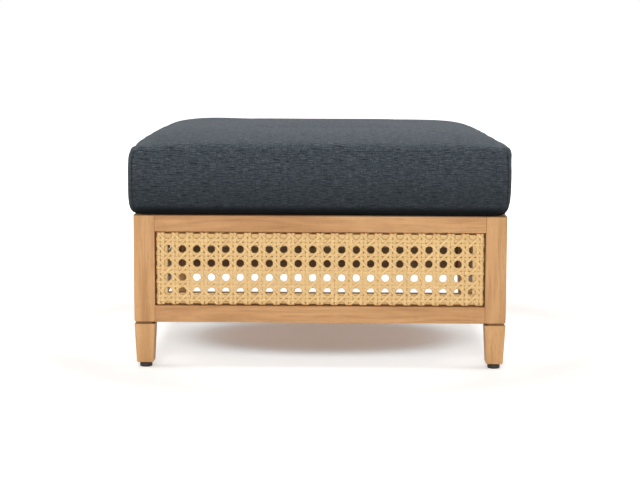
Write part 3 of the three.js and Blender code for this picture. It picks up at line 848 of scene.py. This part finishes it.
def read(items, name, size=1, kind=float):
    """One property of a mesh's points or faces, as an array with a row for each."""
    flat = np.zeros(len(items) * size, kind)
    items.foreach_get(name, flat)
    return flat.reshape(-1, size) if size > 1 else flat


def move_to(piece, place):
    piece.data.vertices.foreach_set("co", place.ravel())
    piece.data.update()


def cloth_run(mesh):
    """Lays each panel of cloth flat, each on a stretch of its own: slubs run across the top and round the sides."""
    place = read(mesh.vertices, "co", 3)[read(mesh.loops, "vertex_index", kind=int)]
    facing = np.repeat(read(mesh.polygons, "normal", 3), read(mesh.polygons, "loop_total", kind=int), axis=0)
    flat = np.abs(facing[:, 2]) > FLAT_FACING
    ends = ~flat & (np.abs(facing[:, 0]) > np.abs(facing[:, 1]))
    along = np.where(ends, place[:, 1] + 3, place[:, 0])
    across = np.where(flat, place[:, 1] + 5, place[:, 2])
    layer = mesh.uv_layers.get("run") or mesh.uv_layers.new(name="run")
    layer.data.foreach_set("uv", together(along, across).ravel())


def baked(piece):
    """The piece's mesh with its modifiers applied, as a mesh of its own."""
    depsgraph = bpy.context.evaluated_depsgraph_get()
    depsgraph.update()
    return bpy.data.meshes.new_from_object(piece.evaluated_get(depsgraph), depsgraph=depsgraph)


def apply_modifier(piece, kind, **settings):
    """Adds one modifier and bakes it into the mesh."""
    made = piece.modifiers.new("step", kind)
    for key, value in settings.items():
        setattr(made, key, value)
    mesh = baked(piece)
    piece.modifiers.clear()
    piece.data = mesh


def seam_distance(place):
    """Distance of each point from the seams round the top edge and the underside, and down each corner."""
    x, y, z = np.abs(place[:, 0]), np.abs(place[:, 1]), place[:, 2]
    edge = np.maximum(x, y)
    top = np.hypot(z - SEAM_HEIGHT, np.minimum(edge - TOP_SEAM, 0))
    under = np.hypot(z - CUSHION_LOW, np.minimum(edge - UNDER_SEAM, 0))
    side = (z > CUSHION_LOW + CORNER_FOOT) & (z < SEAM_HEIGHT) & (edge > CORNER_SEAM)
    return top, under, np.where(side, np.abs(x - y) / math.sqrt(2), 1.0)


def drawn_in(place):
    """Moves each point inward, less near a seam, so that the cloth has room to swell between its seams."""
    share = 1 - bell(np.minimum.reduce(seam_distance(place)), PULL_WIDTH)
    inward = np.array([0, 0, (CUSHION_LOW + SEAM_HEIGHT) / 2]) - place
    face = np.argmax(np.abs(inward) / np.array([CUSHION_HALF, CUSHION_HALF, HALF_TALL]), axis=1)
    step = np.zeros_like(place)
    rows = np.arange(len(place))
    step[rows, face] = np.sign(inward[rows, face]) * PULL * share
    return place + step


def swell(piece):
    """Fills the cover as cloth under pressure, held at its seams, and caps how far any point may move."""
    move_to(piece, drawn_in(read(piece.data.vertices, "co", 3)))
    apply_modifier(piece, "REMESH", mode="VOXEL", voxel_size=VOXEL, use_smooth_shade=True)
    start = read(piece.data.vertices, "co", 3)
    held = piece.vertex_groups.new(name="held")
    grip = bell(np.minimum.reduce(seam_distance(start)), HOLD_WIDTH)
    for level in (0.25, 0.5, 0.75, 1.0):
        rows = np.nonzero((grip > level - 0.25) & (grip <= level))[0]
        held.add(rows.tolist(), level, "REPLACE")
    cloth = piece.modifiers.new("cloth", "CLOTH")
    for key, value in {"quality": 5, "mass": 0.3, "tension_stiffness": 18, "compression_stiffness": 18,
                       "shear_stiffness": 8, "bending_stiffness": 0.6, "use_pressure": True,
                       "uniform_pressure_force": 4, "vertex_group_mass": "held"}.items():
        setattr(cloth.settings, key, value)
    cloth.settings.effector_weights.gravity = 0
    cloth.point_cache.frame_start, cloth.point_cache.frame_end = 1, FRAMES
    for step in range(1, FRAMES + 1):
        scene.frame_set(step)
    moved = read(baked(piece).vertices, "co", 3) - start
    piece.modifiers.clear()
    scene.frame_set(1)
    size = np.linalg.norm(moved, axis=1, keepdims=True)
    return start + moved * np.minimum(1, MOST_MOVE / np.maximum(size, 1e-9))


def sewn(mesh):
    """Presses each seam in as a Gaussian groove, with small puckers beside it.

    The puckers are two sine waves along the seam that fade with distance from it as a Gaussian. The right end's top
    edge stands out by another Gaussian of height, its front corner stands up by x^12 y^3, and the back is drawn in
    along the zip by one more Gaussian.
    """
    place, facing = read(mesh.vertices, "co", 3), read(mesh.vertex_normals, "vector", 3)
    top, _, upright = seam_distance(place)
    x, y, z = place.T.copy()
    along = np.where(np.abs(x) > np.abs(y), y, x)
    groove = SEAM_GROOVE * bell(upright, SEAM_WIDTH) + 0.5 * SEAM_GROOVE * bell(top, SEAM_WIDTH)
    quarter = np.sign(x) + 2 * np.sign(y)
    tug = wave(z, 15 * MM, quarter) + 0.6 * wave(z, 9.3 * MM)
    pucker = PUCKER * tug * bell(upright, 13 * MM) * (1 - bell(upright, 3 * MM))
    gather = wave(along, 21 * MM) + 0.7 * wave(along, 13.7 * MM, 1)
    ripple = RIPPLE * gather * bell(top, 14 * MM)
    slow = wave(along, 170 * MM, quarter) + 0.8 * wave(along, 97 * MM)
    wobble = np.where(x > 0, WOBBLE_RIGHT, WOBBLE_LEFT) * slow * bell(top, 34 * MM)
    right_end = np.clip(x / CUSHION_HALF, 0, 1) ** 12
    front_share = np.clip(-y / CUSHION_HALF, 0, 1) ** 3
    x += RIGHT_SHOULDER * bell(z - SEAM_HEIGHT, RIGHT_SHOULDER_WIDTH) * right_end
    z += RIGHT_CORNER * right_end * front_share * np.clip((z - RIGHT_CORNER_LOW) / RIGHT_CORNER_RISE, 0, 1)
    y -= ZIP_DRAW * bell(z - ZIP_MIDDLE, ZIP_DRAW_WIDTH) * np.exp(-(x / ZIP_DRAW_REACH) ** 16) * (y > 340 * MM)
    return together(x, y, z) + facing * (pucker + ripple + wobble - groove)[:, None]


def cut_zip_opening(piece):
    """Opens the back of the cover for the zip: a long low slot down to the tape."""
    behind = (TAPE_FACE - 1.2 * MM, BACK_PAST)
    corner = ((0, -1), (0, 1), (1, 1), (1, -1))
    points = [(end * ZIP_HALF, behind[back], ZIP_MIDDLE + up * ZIP_OPEN) for end in (-1, 1) for back, up in corner]
    faces = [(0, 1, 2, 3), (7, 6, 5, 4), (4, 5, 1, 0), (5, 6, 2, 1), (6, 7, 3, 2), (7, 4, 0, 3)]
    cutter = plain("zip_cutter", points, faces, slate_cloth)
    apply_modifier(piece, "BOOLEAN", object=cutter, operation="DIFFERENCE", solver="EXACT")
    bpy.data.objects.remove(cutter)


def back_of(place):
    """The back face of the cover below and above the zip, each as its Y at any X, a polynomial fitted to the cloth."""
    sides = []
    for side in (-1, 1):
        beside = np.abs(place[:, 2] - ZIP_MIDDLE - side * STITCH_OFF) < 4 * MM
        near = (place[:, 1] > BACK_FROM) & beside & (np.abs(place[:, 0]) < BACK_REACH)
        sides.append(np.polynomial.Polynomial.fit(place[near, 0], place[near, 1], 8))
    return sides


def face_underside(mesh):
    """The cover's cloth, and below its last turn the near-black cloth of painted shade."""
    mesh.materials.clear()
    mesh.materials.append(slate_cloth)
    mesh.materials.append(shade_under_cloth)
    height = read(mesh.polygons, "center", 3)[:, 2]
    mesh.polygons.foreach_set("material_index", (height < LAST_TURN_HEIGHT).astype(np.int32))


def cushion():
    """The filled cover, and its foam core, the same form a little smaller. It gives the cover's back face.

    Past the frame the cover's foot hangs a little lower, by a share that falls with height.
    """
    piece = put("cushion_cover_filled", cushion_points(0.0), slate_cloth, "cushion")
    move_to(piece, swell(piece))
    apply_modifier(piece, "SUBSURF", levels=1, render_levels=1)
    place = sewn(piece.data)
    place[:, 2] = np.maximum(place[:, 2], CUSHION_LOW)
    past_frame = np.clip((np.abs(place[:, 1]) - PAST_FRAME) / (2 * MM), 0, 1)
    place[:, 2] -= HANG * past_frame * np.clip(1 - (place[:, 2] - CUSHION_LOW) / HANG_HEIGHT, 0, 1)
    move_to(piece, place)
    cut_zip_opening(piece)
    face_underside(piece.data)
    cloth_run(piece.data)
    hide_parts("cushion_cover")
    foam = put("cushion_foam_core", cushion_points(CORE_GAP), foam_cells, "cushion")
    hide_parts("cushion_foam")
    return back_of(place)


# Zip

HEM_ROLL, HEM_THICK, HEM_SUNK, HEM_CORNER = mm(1.9, 1.5, 0.9, 3)
STITCH_STEP, STITCH_LENGTH, STITCH_RADIUS, STITCH_PROUD = mm(4.2, 3, 0.5, 0.1)
TAPE_HALF, COIL_HALF = mm(290, 289)
TAPE_PROFILE = np.array([(0.9, 0.75), (0.9, -0.1), (1.6, -0.35), (11.3, -0.35), (11.5, 0), (11.3, 0.35), (2.2, 0.35),
                         (1.6, 0.75)]) * MM
TAPE_BEHIND, COIL_PROUD, COIL_APART = mm(0.4, 1.0, 1.25)
COIL_PITCH, COIL_WIRE, COIL_DEEP, COIL_WIDE = mm(1.5, 0.34, 0.75, 1.5)


def zip_hem(back):
    """The folded edge of the cloth round the opening: an oval roll carried round a long rounded slot."""
    reach, half = ZIP_HALF - HEM_CORNER, ZIP_OPEN + 0.7 * MM
    straight = np.linspace(-1, 1, 160)[1:-1] * reach
    turn = np.linspace(0, QUARTER, 6)
    arc_x, arc_z = HEM_CORNER * np.sin(turn), HEM_CORNER * np.cos(turn)
    end, rise = reach + arc_x, half - HEM_CORNER + arc_z
    right = np.concatenate([together(end, rise), together(end, -rise)[::-1]])
    path = np.concatenate([together(straight, half), right, together(straight[::-1], -half), -right])
    onward = unit(np.roll(path, -1, axis=0) - np.roll(path, 1, axis=0))
    angle = circle(10)
    length = np.concatenate([[0], np.cumsum(np.linalg.norm(np.diff(path, axis=0), axis=1))])[:, None]
    side = HEM_ROLL * (1 + 0.08 * wave(length, 17 * MM)) * np.cos(angle)
    across, up = path[:, :1], path[:, 1:]
    share = 0.5 + 0.5 * up / STITCH_OFF
    face = back[0](across) * (1 - share) + back[1](across) * share
    points = together(across - onward[:, 1:] * side, face + (HEM_THICK * np.sin(angle) - HEM_SUNK),
                      ZIP_MIDDLE + up + onward[:, :1] * side)
    index = numbered(len(path), 10)
    put("zip_hem_folded", points, slate_cloth, "cushion", together(length, angle * 1.8 * MM),
        walls(np.concatenate([index, index[:1]])[None]))


def stitch_bars(starts, ends):
    """Small rounded bars from each start to its end: five rings whose radius swells and shrinks again."""
    share = np.array([0.0, 0.12, 0.5, 0.88, 1.0])[:, None]
    swelling = np.array([0.45, 0.9, 1.0, 0.9, 0.45])[:, None, None]
    axis = unit(ends - starts)
    side = unit(np.cross(axis, [0, 1.0, 0]))
    angle = circle(6)[:, None]
    middle = starts[:, None] + (ends - starts)[:, None] * share
    ring = side[:, None, None] * np.cos(angle) + np.cross(side, axis)[:, None, None] * np.sin(angle)
    return middle[:, :, None] + ring * (STITCH_RADIUS * swelling)


def zip_stitches(back):
    """Two rows of thread beside the opening, each stitch a small rounded bar that dips at its ends."""
    first = np.arange(-ZIP_HALF, ZIP_HALF - STITCH_STEP, STITCH_STEP)
    starts, ends = (np.concatenate([together(x, face(x) + STITCH_PROUD, ZIP_MIDDLE + side * STITCH_OFF)
                                    for side, face in zip((-1, 1), back)]) for x in (first, first + STITCH_LENGTH))
    points = stitch_bars(starts, ends)
    put("zip_stitches", points, thread, "cushion", np.zeros((points.size // 3, 2)))


def zip_tapes():
    """Two woven tapes with a rolled inner edge, and between them a coil on each, as two long helices."""
    x = np.linspace(-TAPE_HALF, TAPE_HALF, 120)[:, None]
    bars = []
    for side in (-1, 1):
        grid = together(x, TAPE_FACE - TAPE_BEHIND + TAPE_PROFILE[:, 1], ZIP_MIDDLE + side * TAPE_PROFILE[:, 0])
        bars.append(grid if side > 0 else grid[:, ::-1])
    points = np.stack(bars)
    tape = put("zip_tapes_woven", points, tape_cloth, "cushion", points[..., ::2])
    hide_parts("zip_tape")
    turns = np.arange(0, 2 * COIL_HALF / COIL_PITCH, 1 / 9)
    around = circle(5)[:, None]
    coils = []
    for side in (-1, 1):
        angle = turns * math.tau * side
        middle = together(turns * COIL_PITCH - COIL_HALF, TAPE_FACE + COIL_PROUD + COIL_DEEP * np.sin(angle),
                          ZIP_MIDDLE + side * COIL_APART + COIL_WIDE * np.cos(angle))
        onward = unit(np.gradient(middle, axis=0))
        across = unit(np.cross(onward, [1.0, 0, 0]))
        ring = across[:, None] * np.cos(around) + np.cross(onward, across)[:, None] * np.sin(around)
        coils.append(middle[:, None] + COIL_WIRE * ring)
    points = np.stack(coils)
    put("zip_coil_teeth", points, coil_nylon, "cushion", points[..., ::2],
        walls(numbered(*points.shape[:3])))


back_face = cushion()
zip_hem(back_face)
zip_stitches(back_face)
zip_tapes()


# Stage, camera and lights

def background_rays(tree):
    """1 for the rays that show the background: the camera's own, and those off metal or through glass."""
    rays = add(tree, "ShaderNodeLightPath").outputs
    return greater(greater(rays["Is Camera Ray"], rays["Is Glossy Ray"]), rays["Is Transmission Ray"])


def length_of(vector):
    return add(vector, "ShaderNodeVectorMath", {"operation": "LENGTH"}, i0=vector).outputs["Value"]


def stage():
    """A wide white floor. Camera rays see a little of its own light, so that it meets the white behind it.

    The light lessens in an oval under the stool as a painted shadow, and tints warm at its middle as painted bounce.
    """
    material, tree = new_material("white_floor", Base_Color=(0.93, 0.93, 0.93, 1), Roughness=0.9,
                                  Specular_IOR_Level=0.1)
    place = object_place(tree)
    away = length_of(place)
    oval = add(tree, "ShaderNodeVectorMath", {"operation": "MULTIPLY_ADD"}, i0=place, i1=(3.25, 4.85, 0),
               i2=(-0.03, 0.075, 0))
    core = length_of(oval.outputs[0])
    # Painted shadow under the stool, and a painted warm bounce at its middle.
    glow = plus(times(spread(core, 0.75, 1.25, 0.31, 0.6), spread(away, 0.4, 0.62, 1.0, 0.2)),
                spread(away, 0.6, 1.8, 0.0, 0.95))
    tint = blend(spread(core, 0.6, 1.1), (1, 0.76, 0.62, 1), (1, 0.99, 0.97, 1))
    join(tree.nodes["Principled BSDF"].inputs, Emission_Strength=times(background_rays(tree), glow),
         Emission_Color=tint)
    floor = plain("floor", [(-30, -30, 0), (30, -30, 0), (30, 30, 0), (-30, 30, 0)], [(0, 1, 2, 3)], material)


def surroundings():
    """White for rays that the camera sees, and an even soft light for the rest."""
    world = bpy.data.worlds.new("studio")
    world.use_nodes = True
    background = world.node_tree.nodes["Background"]
    background.inputs["Color"].default_value = (1, 1, 1, 1)
    join(background.inputs, Strength=spread(background_rays(world.node_tree), 0.0, 1.0, 0.2, 1.0))
    scene.world = world


def aimed(name, data, place, right, upward, ahead):
    """Stands a lamp or the camera at its place, by its three directions."""
    made = linked(name, data)
    made.matrix_world = Matrix([[right[k], upward[k], -ahead[k], place[k]] for k in range(3)] + [[0, 0, 0, 1]])
    return made


def lamp(name, place, size, power, target=(0, 0, 0.2)):
    """A soft oblong lamp, level, turned to its target."""
    data = bpy.data.lights.new(name, "AREA")
    data.shape = "RECTANGLE"
    data.size, data.size_y = size
    data.energy = power
    ahead = unit(np.array(target) - np.array(place))
    right = unit(np.cross(ahead, (0, 0, 1)))
    aimed(name, data, place, right, np.cross(right, ahead), ahead)


def camera():
    """The camera of the photograph, from its place, pitch, yaw and roll."""
    pitch, yaw, roll = 0.1274, 0.0107, 0.0039
    right = np.array([math.cos(yaw), math.sin(yaw), 0])
    ahead = np.array([-math.sin(yaw) * math.cos(pitch), math.cos(yaw) * math.cos(pitch), -math.sin(pitch)])
    upward = np.cross(right, ahead)
    data = bpy.data.cameras.new("camera")
    data.sensor_width, data.lens = 36, 88.61
    bpy.context.scene.camera = aimed("camera", data, (0.03295, -3.45819, 0.65491),
                                     math.cos(roll) * right + math.sin(roll) * upward,
                                     math.cos(roll) * upward - math.sin(roll) * right, ahead)


stage()
surroundings()
lamp("key", (-0.3, -4.3, 2.3), (2.0, 1.6), 76)
lamp("overhead", (0, 0.2, 3.0), (2.6, 2.6), 66, (0, 0.01, 0.2))
lamp("left", (-3.2, 0.3, 1.7), (1.8, 1.8), 22)
lamp("right", (3.2, 0.3, 1.7), (1.8, 1.8), 22)
lamp("rear", (0.4, 3.4, 1.9), (1.8, 1.8), 10)
camera()
bpy.context.scene.view_settings.view_transform = "Standard"
